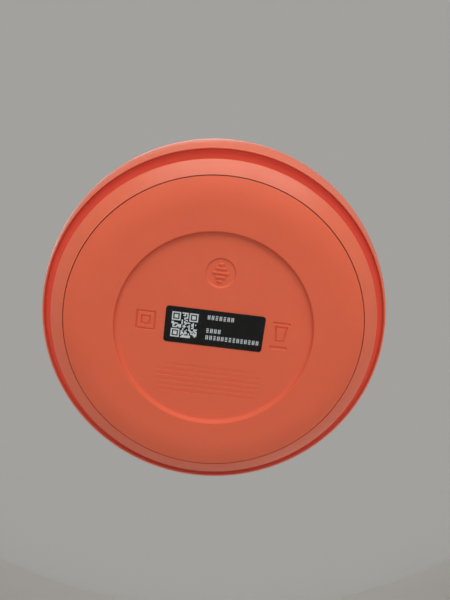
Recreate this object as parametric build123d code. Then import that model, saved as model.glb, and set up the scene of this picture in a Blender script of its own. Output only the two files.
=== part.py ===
"""A squat round smart speaker that stands on a soft foot, built as it comes apart on a bench.

Units are millimetres. The table is z = 0, +Z is up, the front is -Y and the power port is at the back, +Y.
The sound leaves a down-firing driver, spreads over a deflector and comes out of a ring slot round the base.
"""
import math
import os

from build123d import *

# ---- outer body ----
body_radius = 55.1  # at the widest point
waist_height = 24.5  # height of the widest point
side_arc_radius = 49.0  # bulge of the side wall, seen in section
shoulder_radius = 7.0  # rounding between side wall and top
wall = 2.0
lip_height = 5.8  # underside of the outer shell's lip
lip_wall = 0.4  # thickness of the lip
lip_round = 0.15
top_land = 1.4  # flat ring between shoulder and top opening

# ---- base ----
slot_width = 2.75  # sound slot between base cup and lip
slot_mouth = 1.2  # passage for the sound over the cup's rim
base_edge_height = 3.7
base_edge_round = 0.35
base_ring_width = 4.5  # hard ring that shows round the soft foot
seam_gap = 0.28
foot_thickness = 3.0
foot_crown_width = 7.9  # rounded outer zone of the foot
foot_land_width = 6.65  # flat ring that the speaker stands on
foot_edge_round = 0.2
recess_depth = 1.2
recess_wall_run = 0.8  # how far the recess wall slopes inwards
cup_floor = 2.2
cup_rim = 0.8  # rim height above the cup's floor
ballast_thickness = 2.0
ballast_hole_radius = 3.0
deflector_radius = 22.0
deflector_edge = 0.6
deflector_height = 4.8
deflector_waist = (0.42, 0.36)  # a point of its flank, as shares of radius and height
sound_gap = 8.0  # from the cup's floor to the baffle
screen_thickness = 0.6
screen_slots = 48
screen_slot_width = 3.0
screen_band = 0.4  # solid band above and below the slots

# ---- identification label ----
label_width = 28.9
label_height = 10.85
label_thickness = 0.12
label_corner = 0.9
label_place = (0.15, 0.8)  # to the right and up, read from below with the front at the top

# ---- marks pressed into the foot's recess ----
mark_depth = 0.4
mark_slope = 25.0  # of the marks' walls, in degrees from upright
text_depth = 0.12
mark_line = 0.6
medallion_radius = 4.35
medallion_place = (0.0, 17.35)
wave_lengths = (1.2, 2.8, 4.4, 2.8, 1.2)
wave_line = 0.35
wave_pitch = 1.25
frame_mark_size = 5.8
frame_mark_place = (-19.85, 1.1)
tub_mark_width = 5.1
tub_mark_height = 8.3
tub_mark_bar = 1.0
tub_mark_taper = 0.7  # width of the tub's bottom over its top
tub_mark_place = (19.4, 0.95)
text_top = -11.6
text_pitch = 1.65
text_height = 0.85
text_gap = 0.8
text_widths = (26.0, 31.0, 31.0, 32.0, 30.0, 28.0)
text_words = (2.4, 4.4, 1.7, 3.4, 5.2, 2.9, 1.3)

# ---- driver ----
baffle_thickness = 3.0
baffle_gap = 0.05  # the baffle is a close push fit in the shell's lip
baffle_flange = 2.0  # thickness of the wall and flange over the slot
gasket_thickness = 0.5
driver_radius = 27.5
flange_width = 4.7
flange_thickness = 1.2
basket_depth = 8.6  # flange face to washer
basket_windows = 4
basket_window_width = 11.0
washer_thickness = 2.5
washer_radius = 17.0
magnet_thickness = 5.0
magnet_radius = 18.0
magnet_bore_radius = 12.5
back_plate_thickness = 2.5
pole_radius = 9.3
former_radius = 9.95
former_wall = 0.2
former_length = 8.0
coil_wall = 0.3
coil_length = 4.5
coil_air = 0.35  # radial air on each side of the moving coil
cone_travel = 1.5  # each way
cone_wall = 0.5
cone_rise = 3.8
surround_width = 2.8
surround_roll = 1.4
spider_thickness = 0.3
spider_waves = 3
spider_wave_height = 0.35
spider_land = 1.2  # glued edge of the spider
cap_rise = 2.6
cap_wall = 0.4
terminal_width = 7.0
terminal_thickness = 1.2
lug_width = 1.2
lug_height = 3.1

# ---- rear chamber ----
chamber_clearance = 1.2  # between the chamber and the shell's bosses
port_clearance = 4.8  # between the chamber and the port board's connector
chamber_air = 0.8  # behind the magnet
roof_thickness = 1.8
seal_width = 1.0
seal_thickness = 0.8

# ---- electronics ----
board_gap = 2.9  # chamber roof to main board
board_thickness = 1.2
board_overlap = 1.2  # board edge under the shell's ledge
switch_size = 5.2
switch_height = 1.5
plunger_radius = 1.2
key_travel = 0.5
led_count = 16
led_size = 1.6
led_height = 0.6
mic_length = 3.5
mic_width = 2.65
mic_height = 1.0
mic_hole_radius = 0.6
mic_boot_wall = 1.1
mic_count = 4
# each part under the board: x size, y size, height, then the x and y of its centre
shield_can = (24.0, 20.0, 2.0, -9.0, -7.0)
shield_wall = 0.3
processor = (13.0, 13.0, 1.2, -13.0, -7.0)
memory_chip = (7.0, 9.0, 1.0, -1.5, -7.0)
amplifier_chip = (6.0, 6.0, 0.9, 14.0, -12.0)
power_coils = ((6.0, 6.0, 2.4, 4.0, -21.0), (6.0, 6.0, 2.4, 12.0, -21.0))
capacitor_radius = 2.5
capacitor_height = 2.6
capacitor_places = ((12.0, 14.0), (18.0, 17.0), (-14.0, 16.0), (-20.0, 13.0))
antenna_length = 16.0
antenna_foot = 2.0  # width of the part that lies on the board
antenna_fin = 2.2  # height of the upright part
antenna_metal = 0.4
antenna_place = -26.0

# ---- top ----
nib_length = 0.5
key_radius = 6.0
key_flange = 1.0  # how far the key's flange stands out under the cover
key_flange_thickness = 0.8
key_circle = 14.0  # centre of the cover to centre of each key
key_gap = 0.15
key_edge_round = 0.4
key_dish = 0.35
cover_thickness = 1.8  # at the centre
cover_dish = 0.8  # how far the cover's centre lies below its edge
cover_recess = 0.3  # cover edge below the shell's top
light_ring_width = 1.4
light_flange_thickness = 1.2
light_flange_reach = 5.5
ledge_width = 2.45
post_circle_top = 29.0
post_radius_top = 2.6

# ---- power port ----
port_height = 22.0
pocket_width = 12.6
pocket_height = 6.6
pocket_depth = 5.2
pocket_wall = 1.2
socket_width = 8.94
socket_height = 3.26
socket_length = 6.4
socket_wall = 0.3
socket_nose = 0.4  # how far the socket stands into the pocket
tongue_width = 6.7
tongue_thickness = 0.7
tongue_length = 5.0
port_board_width = 27.0
port_board_height = 11.0
port_boss_spacing = 21.0
socket_back = 0.9  # thickness of the socket's closed end
ribbon_width = 6.0
ribbon_thickness = 0.3
connector_width = 9.0
connector_depth = 1.4
connector_height = 3.0
connector_drop = 1.0  # connector below the port board's upper edge
board_connector_depth = 4.0
full_round = 0.49  # corner radius over height of a bar with round ends

# ---- fasteners and clearances ----
screw_radius = 1.1
screw_head_radius = 2.2
screw_head_height = 1.2
small_screw_radius = 0.8
small_head_radius = 1.6
small_head_height = 0.9
pilot_gap = 0.0  # self-tapping screws fill their pilot holes
boss_radius = 2.8
post_radius = 3.2
fit_gap = 0.2  # between parts that slide together
hole_gap = 0.2  # round a screw in a clearance hole
base_posts = 6
base_post_turn = 30.0  # angle of the first post, in degrees from +X
shell_bosses = 4
shell_boss_turn = 45.0
chamber_bosses = 4
chamber_boss_turn = 22.5
driver_screw_count = 4
driver_screw_turn = 45.0
board_post_count = 4
board_post_turn = 45.0

# ---- heights, added up from the table ----
floor_top = foot_thickness + cup_floor
rim_top = floor_top + cup_rim
baffle_low = floor_top + sound_gap
baffle_top = baffle_low + baffle_thickness
slot_roof_height = rim_top + slot_mouth
roof_flange_top = slot_roof_height + baffle_flange
flange_low = baffle_top + gasket_thickness
washer_low = flange_low + basket_depth
magnet_low = washer_low + washer_thickness
plate_low = magnet_low + magnet_thickness
roof_low = plate_low + back_plate_thickness + chamber_air
roof_top = roof_low + roof_thickness
board_low = roof_top + board_gap
board_top = board_low + board_thickness
plunger_top = board_top + switch_height + key_travel
key_flange_low = plunger_top + nib_length
cover_low = key_flange_low + key_flange_thickness + key_gap
cover_edge = cover_low + cover_thickness + cover_dish
body_height = cover_edge + cover_recess
ledge_top = cover_low - light_flange_thickness
ledge_low = board_top + fit_gap / 2


def side_radius(height, inset=0.0):
    """Radius of the bulged side wall at a height, or of a surface inset from it."""
    rise = height - waist_height
    return body_radius - side_arc_radius + math.sqrt((side_arc_radius - inset) ** 2 - rise**2)


# ---- radii, worked inwards from the side wall ----
lip_outer = side_radius(lip_height)
lip_inner = lip_outer - lip_wall
base_radius = lip_inner - slot_width
foot_radius = base_radius - base_ring_width
foot_flat_radius = foot_radius - foot_crown_width
recess_radius = foot_flat_radius - foot_land_width
recess_floor_radius = recess_radius - recess_wall_run
crown_run = base_radius - foot_flat_radius
crown_radius = (crown_run**2 + base_edge_height**2) / (2 * base_edge_height)
cup_inner = base_radius - wall
post_circle = foot_radius - screw_head_radius - wall
ballast_radius = post_circle - post_radius - 4 * fit_gap
screen_radius = cup_inner - fit_gap
baffle_radius = lip_inner - baffle_gap
mouth_radius = cup_inner - baffle_flange

# ---- port depths, worked inwards from the back ----
pocket_floor = body_radius - pocket_depth
socket_front = pocket_floor + socket_nose
port_board_face = socket_front - socket_length
port_board_back = port_board_face - board_thickness
chamber_radius = port_board_back - connector_depth - port_clearance
boss_circle = chamber_radius + chamber_clearance + boss_radius
chamber_inner = chamber_radius - wall
chamber_boss_circle = chamber_inner - boss_radius / 2
seal_radius = chamber_radius - wall / 2

shoulder_centre_height = body_height - shoulder_radius
shoulder_reach = side_arc_radius - shoulder_radius
shoulder_rise = shoulder_centre_height - waist_height
shoulder_centre = body_radius - side_arc_radius + math.sqrt(shoulder_reach**2 - shoulder_rise**2)
shoulder_angle = math.asin(shoulder_rise / shoulder_reach)
opening_radius = shoulder_centre - top_land
ledge_radius = opening_radius - ledge_width
light_outer = opening_radius - fit_gap / 2
light_inner = light_outer - light_ring_width
cover_radius = light_inner - fit_gap / 2
light_flange_inner = light_inner - light_flange_reach + light_ring_width
board_radius = ledge_radius + board_overlap
led_circle = light_flange_inner + led_size
mic_circle = light_flange_inner - mic_length

# ---- driver radii ----
flange_inner = driver_radius - flange_width
driver_screw_circle = driver_radius - small_head_radius - fit_gap
cone_radius = flange_inner - surround_width
washer_bore = former_radius + coil_wall + coil_air
cone_neck_height = flange_low + basket_depth / 2 + surround_roll / 4
cone_rim_height = cone_neck_height - cone_rise
spider_height = cone_neck_height + coil_wall + 1.0
spider_radius = washer_radius + surround_roll
lug_height_top = flange_low + flange_thickness + terminal_thickness + lug_height
lug_radius = driver_radius - terminal_thickness / 2
wire_radius = 0.5
wire_spacing = 2.4
wire_bend = 3.0
wire_turn = 0.8
wire_reach = 4.0  # from the grommet to the plug
grommet_radius = 3.0
grommet_flange = 0.9
grommet_place = (driver_radius + chamber_inner) / 2 - grommet_radius


def section(*edges):
    """Solid of revolution about Z from the closed outline that the edges form in the XZ plane."""
    return revolve(make_face(ShapeList(list(edges)).edges()), Axis.Z)


def at(radius, height):
    """A point of a section."""
    return (radius, 0, height)


def turned(*corners):
    """Solid of revolution about Z from a closed polygon of (radius, height) corners."""
    return section(Polyline(*[at(*c) for c in corners], close=True))


def ring(inner, outer, low, high):
    """Plain ring about Z."""
    return turned((inner, low), (outer, low), (outer, high), (inner, high))


def disc(radius, low, high):
    """Plain disc about Z."""
    return Pos(0, 0, low) * extrude(Circle(radius), high - low)


def post(radius, x, y, low, high):
    """Upright cylinder."""
    return Pos(x, y, low) * extrude(Circle(radius), high - low)


def block(x_size, y_size, z_size, x, y, low):
    """Box centred on x and y that stands on a height."""
    return Pos(x, y, low + z_size / 2) * Box(x_size, y_size, z_size)


def around(count, radius, start=0.0):
    """Evenly spaced (x, y, angle) places on a circle, the angle in degrees."""
    places = []
    for i in range(count):
        angle = start + 360 * i / count
        turn = math.radians(angle)
        places.append((radius * math.cos(turn), radius * math.sin(turn), angle))
    return places


def arc_between(start, end, radius, centre):
    """Arc of a section about a centre, from one point to another the short way."""
    start_angle = math.atan2(start[1] - centre[1], start[0] - centre[0])
    end_angle = math.atan2(end[1] - centre[1], end[0] - centre[0])
    middle = (start_angle + end_angle) / 2
    mid = (centre[0] + radius * math.cos(middle), centre[1] + radius * math.sin(middle))
    return ThreePointArc(at(*start), at(*mid), at(*end))


def rounded_bar(width, height, length, corner):
    """Bar along +Y from y = 0, with a rounded rectangular section centred on the axis."""
    return extrude(Plane.XZ * RectangleRounded(width, height, corner), -length)


def pan_screw(shank, head, head_height, length, x, y, head_low, point_up=True):
    """Screw with its head's outer face at head_low, pointing up or down."""
    way = 1 if point_up else -1
    body = extrude(Circle(head), way * head_height)
    body += Pos(0, 0, way * head_height) * extrude(Circle(shank), way * length)
    drive = Pos(0, 0, way * head_height / 4) * (
        Box(head, shank / 2, head_height / 2) + Box(shank / 2, head, head_height / 2)
    )
    return Pos(x, y, head_low) * (body - drive)


def together(solids):
    """Separate solids kept as one node."""
    return Compound(children=[s for piece in solids for s in piece.solids()])


def crown_height(radius):
    """Height of the base's crowned underside at a radius."""
    if radius <= foot_flat_radius:
        return 0.0
    return crown_radius - math.sqrt(crown_radius**2 - (radius - foot_flat_radius) ** 2)


def edges_at(solid, radius, height, near=0.02):
    """Circular edges about Z of a given radius and height."""
    found = []
    for edge in solid.edges().filter_by(GeomType.CIRCLE):
        if abs(edge.radius - radius) < near and abs(edge.arc_center.Z - height) < near:
            found.append(edge)
    return found


# ---- base ----


def make_foot_pad():
    """Soft foot: flat ring to stand on, crowned edge and a shallow round recess."""
    crown_centre = (foot_flat_radius, crown_radius)
    edge = (foot_radius, crown_height(foot_radius))
    half_run, half_depth = recess_wall_run / 2, recess_depth / 2
    outline = [
        Line(at(0, recess_depth), at(recess_floor_radius - half_run, recess_depth)),
        Spline(
            at(recess_floor_radius - half_run, recess_depth),
            at(recess_floor_radius + half_run, half_depth),
            at(recess_radius, 0),
            tangents=[(1, 0, 0), (1, 0, 0)],
        ),
        Line(at(recess_radius, 0), at(foot_flat_radius, 0)),
        arc_between((foot_flat_radius, 0), edge, crown_radius, crown_centre),
        Line(at(*edge), at(foot_radius, foot_thickness)),
        Line(at(foot_radius, foot_thickness), at(0, foot_thickness)),
        Line(at(0, foot_thickness), at(0, recess_depth)),
    ]
    pad = section(*outline)
    pad = fillet(edges_at(pad, *edge), foot_edge_round)
    pad -= make_medallion_cut()
    for mark in (make_frame_mark(), make_tub_mark()):
        pad -= Pos(0, 0, recess_depth) * extrude(mark, mark_depth, taper=mark_slope)
    for line in make_text_marks():
        pad -= Pos(0, 0, recess_depth) * extrude(line, text_depth)
    return pad


def seen_from_below(place):
    """Place on the underside, to the right and up as it is read, as a location in the model."""
    right, up = place
    return Pos(right, -up)


def make_medallion_cut():
    """Round medallion with a sloping rim and a row of bars, a plain sign for sound, left standing in it."""
    floor = recess_depth + mark_depth
    cut = turned(
        (0, recess_depth), (medallion_radius, recess_depth), (medallion_radius - mark_depth, floor), (0, floor)
    )
    for i, length in enumerate(wave_lengths):
        y = (i - (len(wave_lengths) - 1) / 2) * wave_pitch
        cut -= Pos(0, y, recess_depth) * extrude(Rectangle(length, wave_line), mark_depth, taper=-mark_slope)
    return seen_from_below(medallion_place) * cut


def make_frame_mark():
    """Two square outlines, one in the other."""
    inner = frame_mark_size / 2
    mark = Sketch()
    for size in (frame_mark_size, inner):
        mark += Rectangle(size, size) - Rectangle(size - 2 * mark_line, size - 2 * mark_line)
    return seen_from_below(frame_mark_place) * mark


def make_tub_mark():
    """Outline of a plain tub with a lid, over a bar."""
    half = tub_mark_height / 2
    tub_height = tub_mark_height - tub_mark_bar - 4 * mark_line
    top = tub_mark_width / 2 - mark_line
    low = top * tub_mark_taper
    tub = Polygon((-top, 0), (top, 0), (low, tub_height), (-low, tub_height), align=None)
    tub -= offset(tub, -mark_line)
    mark = Pos(0, -half + mark_line / 2) * Rectangle(tub_mark_width, mark_line)
    mark += Pos(0, -half + 2 * mark_line) * tub
    mark += Pos(0, half - tub_mark_bar / 2) * Rectangle(tub_mark_width, tub_mark_bar)
    return seen_from_below(tub_mark_place) * mark


def make_text_marks():
    """Lines of plain dashes where small print would be."""
    lines = []
    for row, line_width in enumerate(text_widths):
        line = Sketch()
        word, x = 2 * row, -line_width / 2
        while x < line_width / 2 - text_gap:
            width = min(text_words[word % len(text_words)], line_width / 2 - x)
            line += Pos(x + width / 2, 0) * Rectangle(width, text_height)
            x += width + text_gap
            word += 1
        lines.append(seen_from_below((0, text_top - row * text_pitch)) * line)
    return lines


def make_id_label():
    """Thin sticker in the recess."""
    plate = extrude(RectangleRounded(label_width, label_height, label_corner), label_thickness)
    return Pos(0, 0, recess_depth - label_thickness) * seen_from_below(label_place) * plate


def make_base_cup():
    """Lower shell: holds the foot, the ballast and the deflector."""
    pocket = foot_radius + seam_gap
    crown_centre = (foot_flat_radius, crown_radius)
    inner_edge = (pocket, crown_height(pocket))
    outer_edge = (base_radius, base_edge_height)
    outline = [
        arc_between(inner_edge, outer_edge, crown_radius, crown_centre),
        Polyline(
            at(*outer_edge),
            at(base_radius, rim_top),
            at(cup_inner, rim_top),
            at(cup_inner, floor_top),
            at(0, floor_top),
            at(0, foot_thickness),
            at(pocket, foot_thickness),
            at(*inner_edge),
        ),
    ]
    cup = section(*outline)
    cup = fillet(edges_at(cup, *outer_edge), base_edge_round)
    for x, y, _ in around(base_posts, post_circle, base_post_turn):
        cup -= post(screw_head_radius + hole_gap, x, y, foot_thickness, foot_thickness + screw_head_height)
        cup -= post(screw_radius + hole_gap, x, y, foot_thickness, floor_top)
    return cup


def make_ballast_plate():
    """Steel disc that keeps the speaker planted."""
    return ring(ballast_hole_radius, ballast_radius, floor_top, floor_top + ballast_thickness)


def make_sound_deflector():
    """Hollow-flanked cone under the driver, with a peg in the ballast's hole."""
    low = floor_top + ballast_thickness
    rim = (deflector_radius, low + deflector_edge)
    tip = (wall / 2, low + deflector_height)
    flank = ThreePointArc(
        at(*rim), at(deflector_radius * deflector_waist[0], low + deflector_height * deflector_waist[1]), at(*tip)
    )
    peg = ballast_hole_radius - fit_gap
    return section(
        flank,
        Polyline(
            at(*tip), at(0, tip[1]), at(0, floor_top), at(peg, floor_top), at(peg, low),
            at(deflector_radius, low), at(*rim),
        ),
    )


def make_dust_screen():
    """Slotted ring that keeps dust out of the sound path."""
    screen = ring(screen_radius - screen_thickness, screen_radius, floor_top, slot_roof_height)
    slot_low = floor_top + screen_band
    slot_height = slot_roof_height - screen_band - slot_low
    cutter_length = 2 * screen_radius + wall
    for i in range(screen_slots // 2):
        cutter = block(cutter_length, screen_slot_width, slot_height, 0, 0, slot_low)
        screen -= Rot(0, 0, 360 * i / screen_slots) * cutter
    return screen


def make_base_screws():
    """Six screws, up through the cup into the baffle's posts."""
    length = cup_floor - screw_head_height + sound_gap
    return together(
        pan_screw(screw_radius, screw_head_radius, screw_head_height, length, x, y, foot_thickness)
        for x, y, _ in around(base_posts, post_circle, base_post_turn)
    )


# ---- baffle and rear chamber ----


def make_baffle():
    """Disc that carries the driver, with posts for the base cup and a low flange over the sound slot."""
    baffle = turned(
        (flange_inner, baffle_low),
        (mouth_radius, baffle_low),
        (mouth_radius, slot_roof_height),
        (baffle_radius, slot_roof_height),
        (baffle_radius, roof_flange_top),
        (cup_inner, roof_flange_top),
        (cup_inner, baffle_top),
        (flange_inner, baffle_top),
    )
    for x, y, _ in around(base_posts, post_circle, base_post_turn):
        baffle += post(post_radius, x, y, floor_top, baffle_low)
        baffle -= post(screw_radius + pilot_gap, x, y, floor_top, baffle_low)
    counterbores = [
        *around(shell_bosses, boss_circle, shell_boss_turn),
        *around(chamber_bosses, chamber_boss_circle, chamber_boss_turn),
    ]
    for x, y, _ in counterbores:
        baffle -= post(screw_head_radius + hole_gap, x, y, baffle_low, baffle_low + screw_head_height)
        baffle -= post(screw_radius + hole_gap, x, y, baffle_low, baffle_top)
    for x, y, _ in around(driver_screw_count, driver_screw_circle, driver_screw_turn):
        baffle -= post(small_screw_radius, x, y, baffle_low + wall / 2, baffle_top)
    groove_half = (seal_width + fit_gap) / 2
    return baffle - ring(
        seal_radius - groove_half, seal_radius + groove_half, baffle_top - seal_thickness, baffle_top
    )


def make_chamber_seal():
    """Flat rubber ring between baffle and rear chamber."""
    half = seal_width / 2
    return ring(seal_radius - half, seal_radius + half, baffle_top - seal_thickness, baffle_top)


def make_rear_chamber():
    """Closed box of air behind the driver."""
    chamber = turned(
        (chamber_inner, baffle_top),
        (chamber_radius, baffle_top),
        (chamber_radius, roof_top),
        (0, roof_top),
        (0, roof_low),
        (chamber_inner, roof_low),
    )
    chamber = fillet(edges_at(chamber, chamber_radius, roof_top), wall * 0.6)
    boss_top = baffle_top + 3 * boss_radius
    for x, y, _ in around(chamber_bosses, chamber_boss_circle, chamber_boss_turn):
        chamber += post(boss_radius, x, y, baffle_top, boss_top) & disc(
            chamber_radius - wall / 2, baffle_top, boss_top
        )
        chamber -= post(screw_radius, x, y, baffle_top, boss_top - wall)
    return chamber - post(grommet_radius, grommet_place, 0, roof_low, roof_top)


def baffle_screws(count, circle, start):
    """Screws up through the baffle into bosses above it."""
    length = baffle_thickness - screw_head_height + 2 * boss_radius
    return together(
        pan_screw(screw_radius, screw_head_radius, screw_head_height, length, x, y, baffle_low)
        for x, y, _ in around(count, circle, start)
    )


def make_chamber_screws():
    return baffle_screws(chamber_bosses, chamber_boss_circle, chamber_boss_turn)


def make_shell_screws():
    return baffle_screws(shell_bosses, boss_circle, shell_boss_turn)


def make_wire_grommet():
    """Rubber grommet that carries the speaker wires through the chamber's roof."""
    flange = grommet_radius + grommet_flange
    grommet = post(grommet_radius, grommet_place, 0, roof_low, roof_top)
    grommet += post(flange, grommet_place, 0, roof_low - grommet_flange, roof_low)
    grommet += post(flange, grommet_place, 0, roof_top, roof_top + grommet_flange)
    for side in (-1, 1):
        y = side * wire_spacing / 2
        low, high = roof_low - grommet_flange, roof_top + grommet_flange
        grommet -= post(wire_radius + hole_gap / 4, grommet_place, y, low, high)
    return grommet


# ---- driver ----


def make_driver_gasket():
    """Foam ring under the driver's flange."""
    gasket = ring(flange_inner + fit_gap, driver_radius, baffle_top, flange_low)
    for x, y, _ in around(driver_screw_count, driver_screw_circle, driver_screw_turn):
        gasket -= post(small_screw_radius + hole_gap / 2, x, y, baffle_top, flange_low)
    return gasket


def make_driver_frame():
    """Pressed basket: flange, windowed wall, spider shelf and washer seat."""
    flange_top = flange_low + flange_thickness
    seat_low = washer_low - flange_thickness
    shelf = spider_height + spider_thickness / 2
    frame = turned(
        (flange_inner, flange_low),
        (driver_radius, flange_low),
        (driver_radius, flange_top),
        (flange_inner + flange_thickness, flange_top),
        (spider_radius + flange_thickness, washer_low),
        (washer_bore + coil_air, washer_low),
        (washer_bore + coil_air, seat_low),
        (spider_radius - spider_land, seat_low),
        (spider_radius - spider_land, shelf),
        (spider_radius, shelf),
        (flange_inner, flange_top),
    )
    window_height = shelf - flange_top - flange_thickness
    window_low = flange_top + flange_thickness / 2
    for i in range(basket_windows):
        window = block(driver_radius, basket_window_width, window_height, driver_radius / 2, 0, window_low)
        window -= disc(spider_radius - spider_land, window_low, shelf)
        frame -= Rot(0, 0, 360 * i / basket_windows) * window
    for x, y, _ in around(driver_screw_count, driver_screw_circle, driver_screw_turn):
        frame -= post(small_screw_radius + hole_gap / 2, x, y, flange_low, flange_top)
    return frame


def make_driver_screws():
    """Four small screws, down through the flange into the baffle."""
    head_top = flange_low + flange_thickness + small_head_height
    length = head_top - small_head_height - baffle_low - wall / 2
    return together(
        pan_screw(small_screw_radius, small_head_radius, small_head_height, length, x, y, head_top, False)
        for x, y, _ in around(driver_screw_count, driver_screw_circle, driver_screw_turn)
    )


def make_driver_washer():
    """Front plate of the magnet system."""
    return ring(washer_bore, washer_radius, washer_low, magnet_low)


def make_driver_magnet():
    """Ferrite ring."""
    return ring(magnet_bore_radius, magnet_radius, magnet_low, plate_low)


def make_driver_yoke():
    """Back plate and pole in one forging."""
    return turned(
        (0, washer_low),
        (pole_radius, washer_low),
        (pole_radius, plate_low),
        (washer_radius, plate_low),
        (washer_radius, plate_low + back_plate_thickness),
        (0, plate_low + back_plate_thickness),
    )


def make_coil_former():
    """Thin tube that carries the voice coil."""
    low = cone_neck_height - cone_wall
    return ring(former_radius - former_wall, former_radius, low, low + former_length)


def make_voice_coil():
    """Winding, centred on the washer."""
    middle = (washer_low + magnet_low) / 2
    low = min(middle - coil_length / 2, cone_neck_height - cone_wall + former_length - coil_length)
    return ring(former_radius, former_radius + coil_wall, low, low + coil_length)


def make_driver_cone():
    """Paper cone, from the former out to the surround."""
    return turned(
        (former_radius, cone_neck_height),
        (former_radius, cone_neck_height - cone_wall),
        (cone_radius, cone_rim_height - cone_wall),
        (cone_radius, cone_rim_height),
    )


def make_dust_cap():
    """Domed cap over the former, glued to the cone's front."""
    slope = cone_rise / (cone_radius - former_radius)
    rim_radius = former_radius + 1.0
    rim = (rim_radius, cone_neck_height - cone_wall - slope * (rim_radius - former_radius))
    apex = rim[1] - cap_rise

    def dome(top):
        depth = rim[1] - top
        radius = (rim_radius**2 + depth**2) / (2 * depth)
        half = rim_radius / 2
        return ThreePointArc(
            at(0, top), at(half, top + radius - math.sqrt(radius**2 - half**2)), at(*rim)
        )

    return section(dome(apex), dome(apex + cap_wall), Line(at(0, apex), at(0, apex + cap_wall)))


def make_cone_surround():
    """Half-roll rubber edge between cone and frame."""
    middle = (cone_radius + flange_inner) / 2
    low, high = cone_rim_height - cone_wall, cone_rim_height
    return section(
        ThreePointArc(at(cone_radius, low), at(middle, low - surround_roll), at(flange_inner, low)),
        Line(at(flange_inner, low), at(flange_inner, high)),
        ThreePointArc(at(flange_inner, high), at(middle, high - surround_roll), at(cone_radius, high)),
        Line(at(cone_radius, high), at(cone_radius, low)),
    )


def make_cone_spider():
    """Corrugated cloth disc that centres the voice coil."""
    inner, outer = former_radius, spider_radius
    steps = 8 * spider_waves
    flat = spider_land + fit_gap
    waved = outer - inner - 2 * flat
    profile = []
    for i in range(steps + 1):
        radius = inner + flat + waved * i / steps
        wave = spider_wave_height * math.sin(2 * math.pi * spider_waves * i / steps)
        profile.append((radius, spider_height - wave))
    profile = [(inner, spider_height), *profile, (outer, spider_height)]
    half = spider_thickness / 2
    upper = [(r, z + half) for r, z in profile]
    lower = [(r, z - half) for r, z in reversed(profile)]
    return turned(*upper, *lower)


def make_driver_terminals():
    """Terminal strip and two solder lugs on the flange."""
    low = flange_low + flange_thickness
    strip_depth = flange_width - 2 * flange_thickness
    strip = block(strip_depth, terminal_width, terminal_thickness, driver_radius - strip_depth / 2, 0, low)
    lugs = [
        block(cone_wall, lug_width, lug_height, lug_radius, side * wire_spacing / 2, low + terminal_thickness)
        for side in (-1, 1)
    ]
    return together([strip, *lugs])


def tube(points, radii, radius):
    """Round wire along straight runs, with a tangent arc at each corner."""
    path = FilletPolyline(*points, radius=radii)
    start = Plane(origin=path @ 0, z_dir=path % 0)
    return sweep(start * Circle(radius), path)


def make_speaker_wires():
    """Two wires from the driver's lugs, through the grommet, to the plug under the main board."""
    bend_height = (roof_top + grommet_flange + board_low) / 2
    wires = []
    for side in (-1, 1):
        y = side * wire_spacing / 2
        wires.append(
            tube(
                [
                    (lug_radius, y, lug_height_top),
                    (lug_radius, y, lug_height_top + 4),
                    (grommet_place, y, roof_low - 5),
                    (grommet_place, y, bend_height),
                    (grommet_place - wire_reach, y, bend_height),
                ],
                [wire_bend, wire_bend, wire_turn],
                wire_radius,
            )
        )
    return together(wires)


def make_wire_plug():
    """Two-way plug, pushed into its header under the main board."""
    length = 5.0
    bend_height = (roof_top + grommet_flange + board_low) / 2
    height = 2 * (board_low - bend_height)
    x = grommet_place - wire_reach - length / 2
    return block(length, 2 * wire_spacing + 2, height, x, 0, board_low - height)


# ---- outer shell and port ----


def make_body_core():
    """The outer shell's outside shape, filled in, which trims what is added to its inside."""
    centre = (body_radius - side_arc_radius, waist_height)
    shoulder = (shoulder_centre, shoulder_centre_height)
    meet = (
        centre[0] + side_arc_radius * math.cos(shoulder_angle),
        centre[1] + side_arc_radius * math.sin(shoulder_angle),
    )
    return section(
        arc_between((lip_outer, lip_height), meet, side_arc_radius, centre),
        arc_between(meet, (shoulder_centre, body_height), shoulder_radius, shoulder),
        Polyline(
            at(shoulder_centre, body_height), at(0, body_height), at(0, lip_height), at(lip_outer, lip_height)
        ),
    )


def make_shell_inside():
    """The hollow of the outer shell: skirt, bulged side, shoulder and top opening."""
    centre = (body_radius - side_arc_radius, waist_height)
    shoulder = (shoulder_centre, shoulder_centre_height)
    inner_side = side_arc_radius - wall
    step = roof_flange_top + fit_gap
    meet = (
        centre[0] + inner_side * math.cos(shoulder_angle),
        centre[1] + inner_side * math.sin(shoulder_angle),
    )
    return section(
        arc_between((side_radius(step, wall), step), meet, inner_side, centre),
        arc_between(meet, (shoulder_centre, body_height - wall), shoulder_radius - wall, shoulder),
        Polyline(
            at(shoulder_centre, body_height - wall),
            at(shoulder_centre, ledge_low),
            at(ledge_radius, ledge_low),
            at(ledge_radius, ledge_top),
            at(opening_radius, ledge_top),
            at(opening_radius, body_height),
            at(0, body_height),
            at(0, lip_height),
            at(lip_inner, lip_height),
            at(lip_inner, step),
            at(side_radius(step, wall), step),
        ),
    )


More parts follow.
